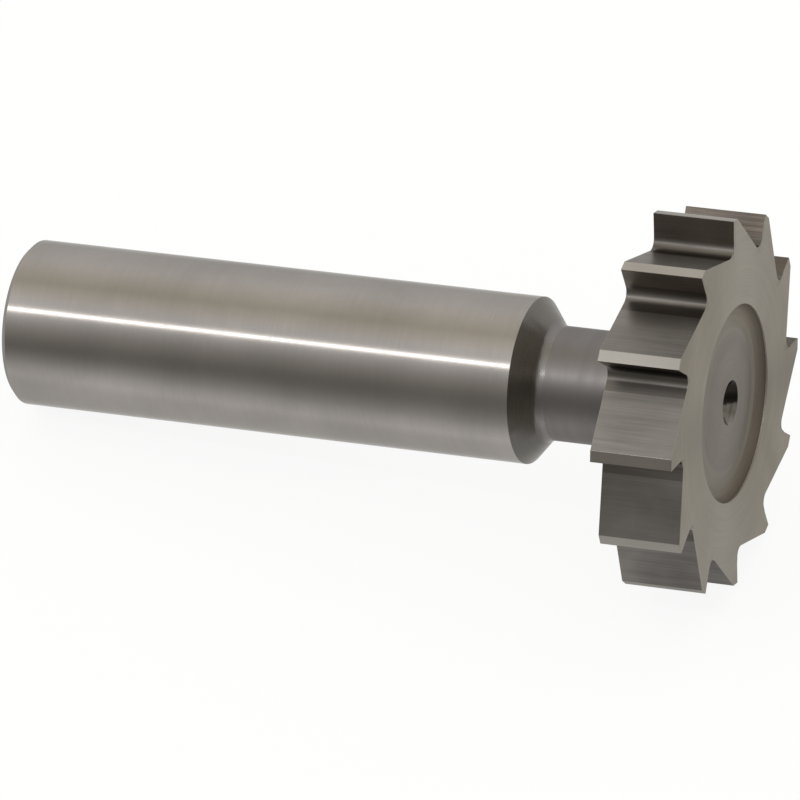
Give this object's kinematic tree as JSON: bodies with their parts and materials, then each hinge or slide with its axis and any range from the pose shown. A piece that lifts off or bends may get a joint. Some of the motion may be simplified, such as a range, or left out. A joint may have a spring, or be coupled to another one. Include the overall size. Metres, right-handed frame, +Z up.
{
  "type": "woodruff keyseat cutter",
  "caption": "Shank-type milling cutter with straight teeth that cuts the half-round seat of a woodruff key in a shaft.",
  "frame": {"origin": "on the bench that the cutter lies on, below the middle of its outline", "axes": "+Z up; +X from the shank's end towards the cutting head, level, along the cutter as seen from above; the cutter's own axis rises towards the head by about 8.7 degrees, because the cutter lies on two teeth and the lower rim of the shank's end"},
  "size_m": [0.0596, 0.028, 0.0287],
  "materials": {
    "ground_steel": "ground high-speed steel, bright, with fine grinding marks"
  },
  "bodies": {
    "root": {"keyseat_cutter": "ground_steel"}
  },
  "joints": []
}
